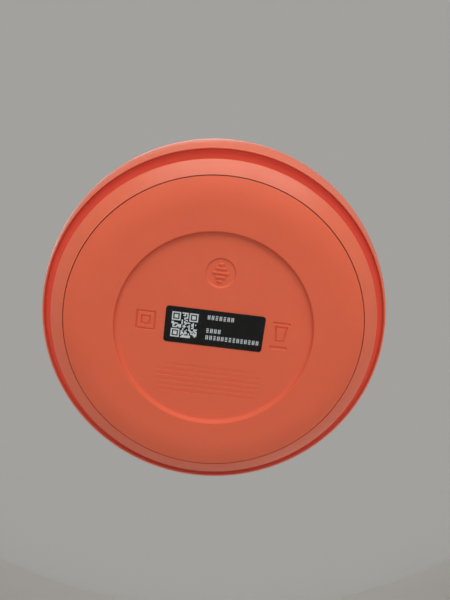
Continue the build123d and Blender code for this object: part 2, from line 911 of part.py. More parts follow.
def make_outer_shell():
    """One-piece outer shell with its bosses and the pocket for the power plug."""
    core = make_body_core()
    shell = core - make_shell_inside()
    shell = fillet(edges_at(shell, lip_outer, lip_height) + edges_at(shell, lip_inner, lip_height), lip_round)
    boss_top = baffle_top + 4 * boss_radius
    for x, y, angle in around(shell_bosses, boss_circle, shell_boss_turn):
        boss = post(boss_radius, x, y, baffle_top, boss_top)
        rib_length = side_radius(boss_top) - wall / 2 - boss_circle
        rib = block(rib_length, wall * 0.8, boss_top - baffle_top - fit_gap, boss_circle + rib_length / 2, 0,
                    baffle_top + fit_gap)
        shell += (boss + Rot(0, 0, angle) * rib) & core
        shell -= post(screw_radius, x, y, baffle_top, boss_top - wall)
    tunnel_width = pocket_width + 2 * pocket_wall
    tunnel_height = pocket_height + 2 * pocket_wall
    reach = body_radius - pocket_floor + pocket_wall
    tunnel = rounded_bar(tunnel_width, tunnel_height, reach, tunnel_height * full_round)
    shell += (Pos(0, pocket_floor - pocket_wall, port_height) * tunnel) & core
    boss_length = body_radius - port_board_face
    for side in (-1, 1):
        x = side * port_boss_spacing / 2
        boss = Pos(x, port_board_face, port_height) * rounded_bar(
            2 * boss_radius, 2 * boss_radius, boss_length, 2 * boss_radius * full_round
        )
        shell += boss & core
        hole = Pos(x, port_board_face, port_height) * Rot(-90, 0, 0) * Cylinder(
            small_screw_radius, boss_radius * 1.6, align=(Align.CENTER, Align.CENTER, Align.MIN)
        )
        shell -= hole
    pocket = rounded_bar(pocket_width, pocket_height, reach + wall, pocket_height * full_round)
    nose_height = socket_height + fit_gap
    nose = rounded_bar(socket_width + fit_gap, nose_height, 2 * pocket_wall, nose_height * full_round)
    shell -= Pos(0, pocket_floor, port_height) * pocket
    shell -= Pos(0, pocket_floor - 2 * pocket_wall, port_height) * nose
    return shell


def make_port_board():
    """Small upright board behind the socket."""
    board = block(port_board_width, board_thickness, port_board_height, 0,
                  port_board_face - board_thickness / 2, port_height - port_board_height / 2)
    for side in (-1, 1):
        board -= Pos(side * port_boss_spacing / 2, port_board_face, port_height) * Rot(90, 0, 0) * Cylinder(
            small_screw_radius + hole_gap / 2, 4 * board_thickness
        )
    return board


def make_port_screws():
    """Two screws through the port board into the shell's bosses."""
    length = board_thickness + boss_radius
    screw = pan_screw(small_screw_radius, small_head_radius, small_head_height, length, 0, 0, 0)
    head_face = port_board_back - small_head_height
    return together(
        Pos(side * port_boss_spacing / 2, head_face, port_height) * Rot(-90, 0, 0) * screw
        for side in (-1, 1)
    )


def make_socket_shell():
    """Steel shell of the power socket, open to the back."""
    outer = rounded_bar(socket_width, socket_height, socket_length, socket_height * full_round)
    bore_height = socket_height - 2 * socket_wall
    bore = rounded_bar(socket_width - 2 * socket_wall, bore_height, socket_length, bore_height * full_round)
    return Pos(0, port_board_face, port_height) * (outer - Pos(0, socket_back, 0) * bore)


def make_socket_tongue():
    """Contact tongue inside the socket."""
    tongue = rounded_bar(tongue_width, tongue_thickness, tongue_length, tongue_thickness / 4)
    return Pos(0, port_board_face + socket_back, port_height) * tongue


def make_port_connector():
    """Ribbon connector on the inner side of the port board."""
    low = port_height + port_board_height / 2 - connector_height - connector_drop
    middle = port_board_back - connector_depth / 2
    return block(connector_width, connector_depth, connector_height, 0, middle, low)


def ribbon_place():
    """Where the power ribbon runs: its y, its lower end and the height at which it turns in."""
    y = port_board_back - connector_depth / 2
    low = port_height + port_board_height / 2 - connector_drop
    return y, low, board_low - connector_depth / 2


def make_power_ribbon():
    """Flat cable from the port board up to the main board."""
    y, low, high = ribbon_place()
    inner_end = board_radius - 4 * wall
    path = FilletPolyline((0, y, low), (0, y, high), (0, inner_end, high), radius=wall)
    start = Plane(origin=path @ 0, x_dir=(1, 0, 0), z_dir=path % 0)
    return sweep(start * Rectangle(ribbon_width, ribbon_thickness), path)


def make_board_connector():
    """Ribbon connector under the main board."""
    _, _, high = ribbon_place()
    height = board_low - high + connector_depth / 2
    middle = board_radius - 4 * wall - board_connector_depth / 2
    return block(connector_width, board_connector_depth, height, 0, middle, board_low - height)


# ---- main board ----


def make_main_board():
    """Round main board, screwed up against the top cover's posts."""
    board = disc(board_radius, board_low, board_top)
    for x, y, _ in around(board_post_count, post_circle_top, board_post_turn):
        board -= post(small_screw_radius + hole_gap, x, y, board_low, board_top)
    return board


def under_board(x_size, y_size, height, x, y):
    """Box that hangs from the underside of the main board."""
    return block(x_size, y_size, height, x, y, board_low - height)


def make_shield_can():
    """Pressed lid over the processor and memory."""
    length, width, height, x, y = shield_can
    inner = height - shield_wall
    hollow = block(length - 2 * shield_wall, width - 2 * shield_wall, inner, x, y, board_low - inner)
    return under_board(*shield_can) - hollow


def make_processor():
    return under_board(*processor)


def make_memory_chip():
    return under_board(*memory_chip)


def make_amplifier_chip():
    return under_board(*amplifier_chip)


def make_power_coils():
    """Two moulded inductors of the amplifier."""
    return together([under_board(*coil) for coil in power_coils])


def make_capacitors():
    """Low can capacitors."""
    low = board_low - capacitor_height
    return together([post(capacitor_radius, x, y, low, board_low) for x, y in capacitor_places])


def make_antenna():
    """Stamped wireless antenna on the front edge of the board."""
    foot = block(antenna_length, antenna_foot, antenna_metal, 0, antenna_place, board_top)
    fin_place = antenna_place - (antenna_foot - antenna_metal) / 2
    return foot + block(antenna_length, antenna_metal, antenna_fin, 0, fin_place, board_top)


def make_leds():
    """Ring of light-emitting diodes under the light ring."""
    return together(
        Pos(x, y, board_top + led_height / 2) * Rot(0, 0, angle) * Box(led_size, led_size, led_height)
        for x, y, angle in around(led_count, led_circle, 180 / led_count)
    )


def make_microphones():
    """Far-field microphones."""
    return together(
        Pos(x, y, board_top + mic_height / 2) * Rot(0, 0, angle) * Box(mic_length, mic_width, mic_height)
        for x, y, angle in around(mic_count, mic_circle)
    )


def make_mic_boots():
    """Rubber boots that seal each microphone to its hole in the cover."""
    boots = []
    for x, y, _ in around(mic_count, mic_circle):
        boot = post(mic_hole_radius + mic_boot_wall, x, y, board_top + mic_height, cover_low)
        boots.append(boot - post(mic_hole_radius * 1.3, x, y, board_top + mic_height, cover_low))
    return together(boots)


def make_board_screws():
    """Four screws, up through the main board into the cover's posts."""
    low = board_low - small_head_height
    length = board_thickness + cover_low - board_top - wall / 2
    return together(
        pan_screw(small_screw_radius, small_head_radius, small_head_height, length, x, y, low)
        for x, y, _ in around(board_post_count, post_circle_top, board_post_turn)
    )


# ---- keys, switches and top cover ----

key_places = {
    "action": (0.0, -key_circle),
    "volume_up": (key_circle, 0.0),
    "mute": (0.0, key_circle),
    "volume_down": (-key_circle, 0.0),
}


def make_switch_bodies():
    """Four dome switches, each with a well for its plunger."""
    bodies = []
    for x, y in key_places.values():
        body = block(switch_size, switch_size, switch_height, x, y, board_top)
        well_low = plunger_top - 2 * key_travel - fit_gap - key_travel
        bodies.append(body - post(plunger_radius + fit_gap / 2, x, y, well_low, plunger_top))
    return together(bodies)


def make_plunger(x, y):
    """Plunger of one switch."""
    return post(plunger_radius, x, y, plunger_top - 2 * key_travel, plunger_top)


def dish_height(radius):
    """Height of the top cover's dished surface at a radius."""
    bowl = (cover_radius**2 + cover_dish**2) / (2 * cover_dish)
    return cover_edge - cover_dish + bowl - math.sqrt(bowl**2 - radius**2)


def make_key(x, y):
    """One key cap with its retaining flange and nib."""
    cap_top = dish_height(key_circle) + key_dish
    dip = (key_radius**2 + key_dish**2) / (2 * key_dish)
    edge = (key_radius, cap_top)
    half = key_radius / 2
    cap = section(
        ThreePointArc(
            at(0, cap_top - key_dish), at(half, cap_top - key_dish + dip - math.sqrt(dip**2 - half**2)), at(*edge)
        ),
        Polyline(
            at(*edge), at(key_radius, key_flange_low + key_flange_thickness),
            at(key_radius + key_flange, key_flange_low + key_flange_thickness),
            at(key_radius + key_flange, key_flange_low),
            at(0, key_flange_low), at(0, cap_top - key_dish),
        ),
    )
    cap = fillet(edges_at(cap, *edge), key_edge_round)
    cap += post(plunger_radius, 0, 0, plunger_top, key_flange_low)
    return Pos(x, y, 0) * cap


def make_top_cover():
    """Dished cover with four key holes, microphone holes and posts for the main board."""
    bowl = (cover_radius**2 + cover_dish**2) / (2 * cover_dish)
    half = cover_radius / 2
    cover = section(
        ThreePointArc(
            at(0, cover_edge - cover_dish), at(half, cover_edge - cover_dish + bowl - math.sqrt(bowl**2 - half**2)),
            at(cover_radius, cover_edge),
        ),
        Polyline(
            at(cover_radius, cover_edge), at(cover_radius, cover_low), at(0, cover_low),
            at(0, cover_edge - cover_dish),
        ),
    )
    for x, y in key_places.values():
        cover -= post(key_radius + key_gap, x, y, cover_low, body_height)
    for x, y, _ in around(mic_count, mic_circle):
        cover -= post(mic_hole_radius, x, y, cover_low, body_height)
    for x, y, _ in around(board_post_count, post_circle_top, board_post_turn):
        cover += post(post_radius_top, x, y, board_top, cover_low)
        cover -= post(small_screw_radius, x, y, board_top, cover_low - wall / 2)
    return cover


def make_light_ring():
    """Milky ring that carries the light up round the cover."""
    return turned(
        (light_flange_inner, ledge_top),
        (light_outer, ledge_top),
        (light_outer, cover_edge),
        (light_inner, cover_edge),
        (light_inner, cover_low),
        (light_flange_inner, cover_low),
    )


nodes = {
    "foot_pad": make_foot_pad,
    "id_label": make_id_label,
    "base_cup": make_base_cup,
    "ballast_plate": make_ballast_plate,
    "sound_deflector": make_sound_deflector,
    "dust_screen": make_dust_screen,
    "base_screws": make_base_screws,
    "baffle": make_baffle,
    "chamber_seal": make_chamber_seal,
    "rear_chamber": make_rear_chamber,
    "chamber_screws": make_chamber_screws,
    "wire_grommet": make_wire_grommet,
    "driver_gasket": make_driver_gasket,
    "driver_frame": make_driver_frame,
    "driver_screws": make_driver_screws,
    "driver_washer": make_driver_washer,
    "driver_magnet": make_driver_magnet,
    "driver_yoke": make_driver_yoke,
    "driver_terminals": make_driver_terminals,
    "coil_former": make_coil_former,
    "voice_coil": make_voice_coil,
    "driver_cone": make_driver_cone,
    "dust_cap": make_dust_cap,
    "cone_surround": make_cone_surround,
    "cone_spider": make_cone_spider,
    "speaker_wires": make_speaker_wires,
    "wire_plug": make_wire_plug,
    "outer_shell": make_outer_shell,
    "shell_screws": make_shell_screws,
    "port_board": make_port_board,
    "port_screws": make_port_screws,
    "socket_shell": make_socket_shell,
    "socket_tongue": make_socket_tongue,
    "port_connector": make_port_connector,
    "power_ribbon": make_power_ribbon,
    "board_connector": make_board_connector,
    "main_board": make_main_board,
    "shield_can": make_shield_can,
    "processor": make_processor,
    "memory_chip": make_memory_chip,
    "amplifier_chip": make_amplifier_chip,
    "power_coils": make_power_coils,
    "capacitors": make_capacitors,
    "antenna": make_antenna,
    "leds": make_leds,
    "microphones": make_microphones,
    "mic_boots": make_mic_boots,
    "board_screws": make_board_screws,
    "switch_bodies": make_switch_bodies,
    "top_cover": make_top_cover,
    "light_ring": make_light_ring,
}

os.makedirs("parts", exist_ok=True)
for name, make in nodes.items():
    export_step(make(), f"parts/{name}.step")
for name, (x, y) in key_places.items():
    export_step(make_key(x, y), f"parts/key_{name}.step")
    export_step(make_plunger(x, y), f"parts/plunger_{name}.step")
print("height", round(body_height, 2), "base radius", round(base_radius, 2), "foot radius", round(foot_radius, 2))
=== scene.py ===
"""Finishes a squat round smart speaker: materials, label print, key signs, contacts and stage."""
import math
import random

import bmesh
import bpy
from bpy.props import (
    FloatProperty, FloatVectorProperty, IntProperty, PointerProperty, StringProperty,
)
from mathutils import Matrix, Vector


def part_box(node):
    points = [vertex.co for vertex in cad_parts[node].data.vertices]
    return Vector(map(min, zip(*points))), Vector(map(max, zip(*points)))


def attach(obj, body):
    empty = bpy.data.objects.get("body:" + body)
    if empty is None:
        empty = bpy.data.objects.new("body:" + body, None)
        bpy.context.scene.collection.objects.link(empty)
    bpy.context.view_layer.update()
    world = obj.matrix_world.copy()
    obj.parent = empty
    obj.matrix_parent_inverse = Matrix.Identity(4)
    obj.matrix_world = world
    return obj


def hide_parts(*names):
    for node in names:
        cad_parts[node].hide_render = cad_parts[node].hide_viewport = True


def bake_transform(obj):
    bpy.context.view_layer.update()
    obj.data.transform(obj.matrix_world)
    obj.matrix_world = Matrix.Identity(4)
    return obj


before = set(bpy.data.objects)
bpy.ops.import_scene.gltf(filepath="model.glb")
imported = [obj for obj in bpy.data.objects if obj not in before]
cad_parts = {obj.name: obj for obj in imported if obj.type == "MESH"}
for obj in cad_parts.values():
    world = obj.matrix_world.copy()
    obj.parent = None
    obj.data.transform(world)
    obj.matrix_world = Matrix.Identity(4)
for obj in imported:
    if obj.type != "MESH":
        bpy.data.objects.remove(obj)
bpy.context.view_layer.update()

bl_info = {
    "name": "Smart speaker finish",
    "version": (1, 0, 0),
    "blender": (4, 5, 0),
    "location": "View3D > Sidebar > Speaker",
    "description": "Materials, small printed pieces and a stage for a squat round smart speaker",
    "category": "Object",
}

MM = 0.001
WAVE_SHARE = 0.1  # a wave's scale times the size that a material gives it
SMOOTH_ANGLE = math.radians(40)  # sharper edges than this stay sharp
SHEET_SIDE = 60.0  # metres; in low views the far edges still show as bands at the horizon
SHELF_DROP = 0.2 * MM  # from the foot down to the shelf
AIM_HEIGHT = 20 * MM  # of the point on the speaker's axis that the lights aim at
BACK_SHARE = 0.3  # power of the back light, of the top light's
CORNER_CELLS = 7  # cells along one side of a framed corner of the code
LABEL_ROWS = ((3.3 * MM, 7), (-0.7 * MM, 4), (-2.8 * MM, 14))  # height of each row, and its marks
UPRIGHT_GAP, LEVEL_GAP = 0.22 * MM, 0.5 * MM  # from a mark's middle to its outer strokes
LEVEL_SHARE = 0.54  # length of a level stroke, of an upright one's
KEY_DISH = 0.33 * MM  # from a key's rim down to its sign
SIGN_LINE, SIGN_HEIGHT = 0.42 * MM, 0.1 * MM
CONTACTS, CONTACT_PITCH = 12, 0.5 * MM
CONTACT_SIZE, CONTACT_CORNER = (0.28 * MM, 3.4 * MM, 0.04 * MM), 0.08 * MM
CONTACT_IN = 2.2 * MM  # from the tongue's end to the contacts' middle
MICROPHONES, MESH_RADIUS, MESH_RISE = 4, 0.58 * MM, 0.1 * MM
MESH_IN, MESH_UP = 1.7 * MM, 0.3 * MM  # from the boots' outer edge, and from their top

# a node that flexes, the piece it moves with, the share of its outer radius within which it leaves
# the frame, and the share of the moving piece's radius at which it has joined it
FLEXING_RINGS = (
    ("cone_surround", "driver_cone", 0.96, 1.0),
    ("cone_spider", "voice_coil", 0.9, 1.08),
)


# ---- settings ----


class SpeakerColours(bpy.types.PropertyGroup):
    """Colours as they look under white light, as sRGB hex values; the inside one holds painted
    shade as well.
    """

    foot: StringProperty(name="Foot", description="Silicone foot", default="#EE6C4A")
    base: StringProperty(name="Base", description="Hard ring round the foot", default="#ED7150")
    shell: StringProperty(name="Shell", description="Outer shell", default="#EE7251")
    # painted shade: the parts in the sound slot get a deeper red than the shell, standing in for
    # the shade there
    inside: StringProperty(
        name="Inside", description="Plastic parts inside the sound slot", default="#FF5A40",
    )
    cover: StringProperty(name="Cover", description="Dished top cover", default="#EE7251")
    keys: StringProperty(name="Keys", description="Key caps", default="#EE7452")
    signs: StringProperty(
        name="Key signs", description="Signs printed on the keys", default="#F6D9CB",
    )
    light: StringProperty(name="Light ring", description="Milky light ring", default="#E4D0C2")
    label: StringProperty(name="Label", description="Film of the label", default="#0A0B0D")
    ink: StringProperty(name="Label print", description="Ink on the label", default="#DCE6EC")


class PrintSizes(bpy.types.PropertyGroup):
    """Sizes of what is printed on the label, in metres, and its pattern."""

    code_side: FloatProperty(
        name="Code", description="Side of the code square", default=7.6 * MM, unit="LENGTH",
    )
    code_right: FloatProperty(
        name="Code right", description="Code from the label's centre", default=-8.75 * MM,
    )
    code_up: FloatProperty(
        name="Code up", description="Code from the label's centre", default=0.08 * MM,
    )
    code_cells: IntProperty(
        name="Cells", description="Cells along one side of the code", default=21,
    )
    code_seed: IntProperty(
        name="Seed", description="Seed of the pattern, which says nothing", default=7,
    )
    mark_pitch: FloatProperty(
        name="Pitch", description="From one mark to the next", default=1.14 * MM,
    )
    mark_height: FloatProperty(
        name="Mark height", description="Height of the marks", default=1.3 * MM,
    )
    rows_left: FloatProperty(
        name="Rows", description="First mark from the label's centre", default=-1.9 * MM,
    )
    stroke: FloatProperty(name="Stroke", description="Width of a stroke", default=0.27 * MM)
    ink_height: FloatProperty(name="Ink", description="Thickness of the ink", default=0.02 * MM)


class StageSettings(bpy.types.PropertyGroup):
    """Camera, shelf, floor and lights, and how finely the flexing rings are cut."""

    eye: FloatVectorProperty(
        name="Camera", description="Place of the camera", subtype="TRANSLATION",
        default=(-1.64 * MM, -41.14 * MM, -123.73 * MM),
    )
    turn: FloatVectorProperty(
        name="Turn", description="Turn of the camera", subtype="EULER",
        default=(math.radians(165.811), math.radians(-0.074), math.radians(-7.181)),
    )
    lens: FloatProperty(name="Lens", description="Focal length on a 36 mm sensor", default=27.06)
    wedges: IntProperty(
        name="Wedges", description="Wedges of each ring that flexes with the cone", default=12,
    )
    drop: FloatProperty(
        name="Floor", description="From the shelf down to the floor", default=0.8, unit="LENGTH",
    )
    sky: FloatProperty(name="Room light", description="Strength of the even light", default=0.4)
    key: FloatProperty(
        name="Key light", description="Power of the light below the front, in watts", default=4.4,
    )
    top: FloatProperty(
        name="Top light", description="Power of the light above, in watts", default=9.0,
    )


# ---- helpers for materials ----


def linear(hex_colour):
    """Linear RGBA of an sRGB hex colour."""
    values = [int(hex_colour[i : i + 2], 16) / 255 for i in (1, 3, 5)]
    return [v / 12.92 if v <= 0.04045 else ((v + 0.055) / 1.055) ** 2.4 for v in values] + [1.0]


def add(tree, kind, inputs=None, **settings):
    """Adds a node, with its settings and its inputs, each a value or a socket to link from."""
    node = tree.nodes.new(kind)
    for name, value in settings.items():
        setattr(node, name, value)
    for name, value in (inputs or {}).items():
        if isinstance(value, bpy.types.NodeSocket):
            tree.links.new(value, node.inputs[name])
        else:
            node.inputs[name].default_value = value
    return node


def feed(shader, name, socket):
    """Links a socket to an input of a shader."""
    shader.id_data.links.new(socket, shader.inputs[name])


def start(name, **values):
    """A new material with a shader that has the given values, and its object coordinates."""
    material = bpy.data.materials.new(name)
    material.use_nodes = True
    tree = material.node_tree
    tree.nodes.clear()
    sockets = {key.replace("_", " "): value for key, value in values.items()}
    shader = add(tree, "ShaderNodeBsdfPrincipled", sockets)
    add(tree, "ShaderNodeOutputMaterial", {"Surface": shader.outputs["BSDF"]})
    place = add(tree, "ShaderNodeTexCoord").outputs["Object"]
    return material, tree, shader, place


def grain(tree, place, size, depth, detail=2.0, normal=None):
    """Normal of a surface with noise of a size and depth, both in metres."""
    noise = add(tree, "ShaderNodeTexNoise", {"Vector": place, "Scale": 1 / size, "Detail": detail})
    inputs = {"Height": noise.outputs["Fac"], "Distance": depth, "Strength": 1.0}
    if normal:
        inputs["Normal"] = normal
    return add(tree, "ShaderNodeBump", inputs).outputs["Normal"]


def relief(tree, height, depth):
    """Normal of a surface that rises with a value, by a depth in metres."""
    return add(tree, "ShaderNodeBump", {"Height": height, "Distance": depth}).outputs["Normal"]


def between(tree, share, low, high):
    """Colour between two others, by a share."""
    inputs = {"Factor": share, 6: low, 7: high}  # inputs 6 and 7 and output 2 are the colour ones
    return add(tree, "ShaderNodeMix", inputs, data_type="RGBA").outputs[2]


def ridges(tree, place, size, distortion=0.0, **settings):
    """Value that rises and falls in waves, whose pitch grows with the size."""
    inputs = {"Vector": place, "Scale": WAVE_SHARE / size, "Distortion": distortion}
    return add(tree, "ShaderNodeTexWave", inputs, **settings).outputs["Fac"]


def mottle(tree, place, colour, size, amount):
    """Colour that drifts lighter and darker by an amount over patches of a size."""
    noise = add(tree, "ShaderNodeTexNoise", {"Vector": place, "Scale": 1 / size, "Detail": 3.0})
    dark = [c * (1 - amount) for c in colour[:3]] + [1.0]
    bright = [min(1.0, c * (1 + amount)) for c in colour[:3]] + [1.0]
    return between(tree, noise.outputs["Fac"], dark, bright)


def vary(tree, place, low, high, size):
    """A value, such as roughness, that drifts between two limits over patches of a size."""
    noise = add(tree, "ShaderNodeTexNoise", {"Vector": place, "Scale": 1 / size, "Detail": 4.0})
    inputs = {
        "Value": noise.outputs["Fac"], "From Min": 0.3, "From Max": 0.7,
        "To Min": low, "To Max": high,
    }
    return add(tree, "ShaderNodeMapRange", inputs).outputs["Result"]


def moulded(name, hex_colour, roughness, size, depth, spread=0.05, **values):
    """Moulded plastic or rubber: one colour right through, with the fine texture of its mould."""
    material, tree, shader, place = start(name, **values)
    colour = mottle(tree, place, linear(hex_colour), 14 * MM, spread)
    feed(shader, "Base Color", colour)
    feed(shader, "Roughness", vary(tree, place, roughness - 0.04, roughness + 0.04, 6 * MM))
    feed(shader, "Normal", grain(tree, place, size, depth))
    return material


def metal(name, hex_colour, roughness, size, depth, stretch=(1.0, 1.0, 1.0), **values):
    """Bare or plated metal with fine marks that may run one way."""
    material, tree, shader, place = start(name, Metallic=1.0, **values)
    colour = mottle(tree, place, linear(hex_colour), 5 * MM, 0.06)
    feed(shader, "Base Color", colour)
    drawn = add(tree, "ShaderNodeMapping", {"Vector": place, "Scale": stretch}).outputs["Vector"]
    feed(shader, "Roughness", vary(tree, drawn, roughness - 0.07, roughness + 0.07, 2 * size))
    feed(shader, "Normal", grain(tree, drawn, size, depth))
    return material


# ---- materials of the outside ----


def silicone(colours):
    """Silicone rubber, moulded and matt: soft light, a faint bloom and a few specks of dust."""
    material, tree, shader, place = start(
        "silicone_matt", IOR=1.43, Specular_IOR_Level=0.3,
        Subsurface_Weight=0.12, Subsurface_Scale=1.0 * MM)
    colour = mottle(tree, place, linear(colours.foot), 16 * MM, 0.05)
    dust = add(tree, "ShaderNodeTexVoronoi",
               {"Vector": place, "Scale": 1 / (2.6 * MM), "Randomness": 1.0})
    speck = add(
        tree, "ShaderNodeMapRange",
        {"Value": dust.outputs["Distance"], "From Min": 0.02, "From Max": 0.05,
         "To Min": 0.35, "To Max": 0.0},
    )
    dusty = between(tree, speck.outputs["Result"], colour, linear("#C9A394"))
    feed(shader, "Base Color", dusty)
    feed(shader, "Roughness", vary(tree, place, 0.44, 0.54, 9 * MM))
    waves = grain(tree, place, 7 * MM, 0.02 * MM, 1.0)
    feed(shader, "Normal", grain(tree, place, 0.16 * MM, 0.004 * MM, 2.0, waves))
    return material


def base_plastic(colours):
    """ABS with a fine spark-eroded mould texture: satin, so that its edges catch the light."""
    return moulded("abs_fine_satin", colours.base, 0.4, 0.22 * MM, 0.006 * MM, IOR=1.54,
                   Specular_IOR_Level=0.45, Subsurface_Weight=0.12, Subsurface_Scale=1.0 * MM)


def shell_plastic(colours):
    """ABS with a slightly coarser mould texture: an even satin over the large curves."""
    return moulded("abs_textured_satin", colours.shell, 0.46, 0.34 * MM, 0.009 * MM, IOR=1.54,
                   Subsurface_Weight=0.12, Subsurface_Scale=1.2 * MM)


def slot_plastic_painted_shade(colours):
    """ABS straight from a plain mould, painted a deeper red than the shell: painted shade of the
    sound slot, where little light reaches.
    """
    return moulded("abs_plain_painted_shade", colours.inside, 0.5, 0.3 * MM, 0.004 * MM, IOR=1.54,
                   Specular_IOR_Level=0.2, Subsurface_Weight=0.12, Subsurface_Scale=1.2 * MM)


def cover_plastic(colours):
    """ABS cover, textured like the shell but finer, so that a finger slides on it."""
    return moulded("abs_cover_satin", colours.cover, 0.46, 0.26 * MM, 0.007 * MM, IOR=1.54,
                   Specular_IOR_Level=0.35)


def key_plastic(colours):
    """Polycarbonate with a soft-touch coat: matt, with a faint bloom."""
    return moulded("polycarbonate_soft_touch", colours.keys, 0.58, 0.18 * MM, 0.004 * MM, IOR=1.5,
                   Sheen_Weight=0.1, Sheen_Roughness=0.5)


def sign_ink(colours):
    """Pad-printed ink: pale, thin and slightly uneven."""
    return moulded("pad_printed_ink", colours.signs, 0.5, 0.12 * MM, 0.003 * MM, IOR=1.48)


def light_guide(colours):
    """Opal acrylic: light goes a little way in and comes back soft."""
    material, tree, shader, place = start(
        "acrylic_opal", Roughness=0.32, IOR=1.49, Subsurface_Weight=0.35, Subsurface_Scale=2.0 * MM)
    feed(shader, "Base Color", mottle(tree, place, linear(colours.light), 12 * MM, 0.03))
    feed(shader, "Normal", grain(tree, place, 0.3 * MM, 0.003 * MM))
    return material


def label_film(colours):
    """Polyester label film, printed black: smoother than the foot, with a faint orange peel."""
    return moulded("polyester_film_black", colours.label, 0.5, 0.6 * MM, 0.003 * MM, IOR=1.5,
                   Specular_IOR_Level=0.05)


def label_ink(colours):
    """Thermal-transfer ink: white, thin, with the fine drop-outs of the ribbon."""
    material, tree, shader, place = start("thermal_transfer_ink", IOR=1.5, Roughness=0.5)
    drops = add(tree, "ShaderNodeTexNoise",
                {"Vector": place, "Scale": 1 / (0.1 * MM), "Detail": 2.0})
    worn = add(
        tree, "ShaderNodeMapRange",
        {"Value": drops.outputs["Fac"], "From Min": 0.28, "From Max": 0.4,
         "To Min": 0.0, "To Max": 1.0},
    )
    shade = between(tree, worn.outputs["Result"], linear("#6E7378"), linear(colours.ink))
    feed(shader, "Base Color", shade)
    return material


# ---- materials of the inside ----


def plated_steel():
    """Cold-rolled steel, zinc plated: pale, with rolling marks along one way."""
    return metal("steel_zinc_plated", "#BFC3C6", 0.34, 0.3 * MM, 0.003 * MM, (0.08, 1.0, 1.0))


def screw_steel():
    """Steel screws, black zinc plated: dark and slightly oily."""
    return metal("steel_black_zinc", "#4A4A4C", 0.38, 0.15 * MM, 0.003 * MM)


def turned_steel():
    """Machined steel of the magnet system, with fine rings left by the turning tool."""
    material, tree, shader, place = start("steel_turned", Metallic=1.0)
    feed(shader, "Base Color", mottle(tree, place, linear("#C6C2B6"), 4 * MM, 0.05))
    rings = ridges(tree, place, 0.15 * MM, 0.3, wave_type="RINGS", rings_direction="Z")
    feed(shader, "Normal", relief(tree, rings, 0.004 * MM))
    feed(shader, "Roughness", vary(tree, place, 0.24, 0.36, 3 * MM))
    return material


def black_plastic():
    """Glass-filled nylon, moulded black: dull, with the faint swirl of its fibres."""
    return moulded("nylon_black", "#26262A", 0.5, 0.4 * MM, 0.006 * MM, 0.12, IOR=1.53)


def black_rubber():
    """Butyl rubber: black and soft, with a dry bloom."""
    return moulded("rubber_black", "#222222", 0.62, 0.25 * MM, 0.006 * MM, 0.1, IOR=1.52,
                   Sheen_Weight=0.08)


def gasket_foam():
    """Closed-cell foam, die cut: small round pores about 0.35 mm across."""
    material, tree, shader, place = start("foam_closed_cell", Roughness=0.85, IOR=1.4)
    cells = add(tree, "ShaderNodeTexVoronoi", {"Vector": place, "Scale": 1 / (0.35 * MM)})
    feed(shader, "Base Color", mottle(tree, place, linear("#3A3A3C"), 2 * MM, 0.12))
    feed(shader, "Normal", relief(tree, cells.outputs["Distance"], 0.05 * MM))
    return material


def coated_steel():
    """Pressed steel, powder coated black: the fine orange peel of baked powder."""
    return moulded("steel_powder_coated", "#2A2A2C", 0.46, 0.9 * MM, 0.012 * MM, 0.06, IOR=1.5)


def ferrite():
    """Sintered ferrite, ground flat: dark grey with a crystalline sparkle."""
    material, tree, shader, place = start("ferrite_ground", Metallic=0.35)
    feed(shader, "Base Color", mottle(tree, place, linear("#3B3B3E"), 0.5 * MM, 0.25))
    feed(shader, "Roughness", vary(tree, place, 0.3, 0.62, 0.3 * MM))
    feed(shader, "Normal", grain(tree, place, 0.2 * MM, 0.006 * MM, 4.0))
    return material


def tinned_brass():
    """Brass stamping, tinned: warm and slightly smeared by the solder bath."""
    return metal("brass_tinned", "#D8C9A0", 0.28, 0.5 * MM, 0.006 * MM)


def copper_winding():
    """Enamelled copper wire, close wound: ridges that stand for its turns, with painted shade
    darkening the grooves between them.
    """
    material, tree, shader, place = start("copper_enamelled_winding_painted_shade", Metallic=1.0, Roughness=0.26)
    turns = ridges(tree, place, 0.2 * MM, bands_direction="Z", wave_profile="SIN")
    # painted shade: the copper darkens in the grooves between the turns, following their ridges
    shade = between(tree, turns, linear("#6B2E16"), linear("#D27A48"))
    feed(shader, "Base Color", shade)
    feed(shader, "Normal", relief(tree, turns, 0.06 * MM))
    return material


def former_aluminium():
    """Rolled aluminium foil of the coil former: bright, with rolling lines."""
    return metal("aluminium_foil", "#D9DADC", 0.3, 0.2 * MM, 0.002 * MM, (1.0, 1.0, 0.1))


def pressed_pulp():
    """Paper pulp, pressed and coated: black, with short fibres that show as felt."""
    material, tree, shader, place = start("paper_pulp_coated", Roughness=0.8, IOR=1.45)
    fibres = add(tree, "ShaderNodeTexNoise",
                 {"Vector": place, "Scale": 1 / (0.8 * MM), "Detail": 6.0,
                  "Roughness": 0.7, "Distortion": 2.0})
    shade = between(tree, fibres.outputs["Fac"], linear("#1B1B1D"), linear("#454549"))
    feed(shader, "Base Color", shade)
    feed(shader, "Normal", relief(tree, fibres.outputs["Fac"], 0.05 * MM))
    return material


def spider_cloth():
    """Cotton cloth stiffened with resin: amber, with a weave that runs both ways and painted shade
    in its hollows.
    """
    material, tree, shader, place = start("cotton_phenolic_painted_shade", Roughness=0.7, Sheen_Weight=0.2)
    warp = ridges(tree, place, 0.5 * MM, bands_direction="X")
    weft = ridges(tree, place, 0.5 * MM, bands_direction="Y")
    weave = add(tree, "ShaderNodeMath", {0: warp, 1: weft}, operation="MULTIPLY").outputs["Value"]
    # painted shade: the amber darkens where the weave sinks between its threads
    shade = between(tree, weave, linear("#8A5F2A"), linear("#CFA25C"))
    feed(shader, "Base Color", shade)
    feed(shader, "Normal", relief(tree, weave, 0.08 * MM))
    return material


def wire_jacket():
    """Extruded PVC insulation: red, with a soft gloss."""
    return moulded("pvc_extruded_red", "#B3201A", 0.35, 0.5 * MM, 0.004 * MM, IOR=1.53)


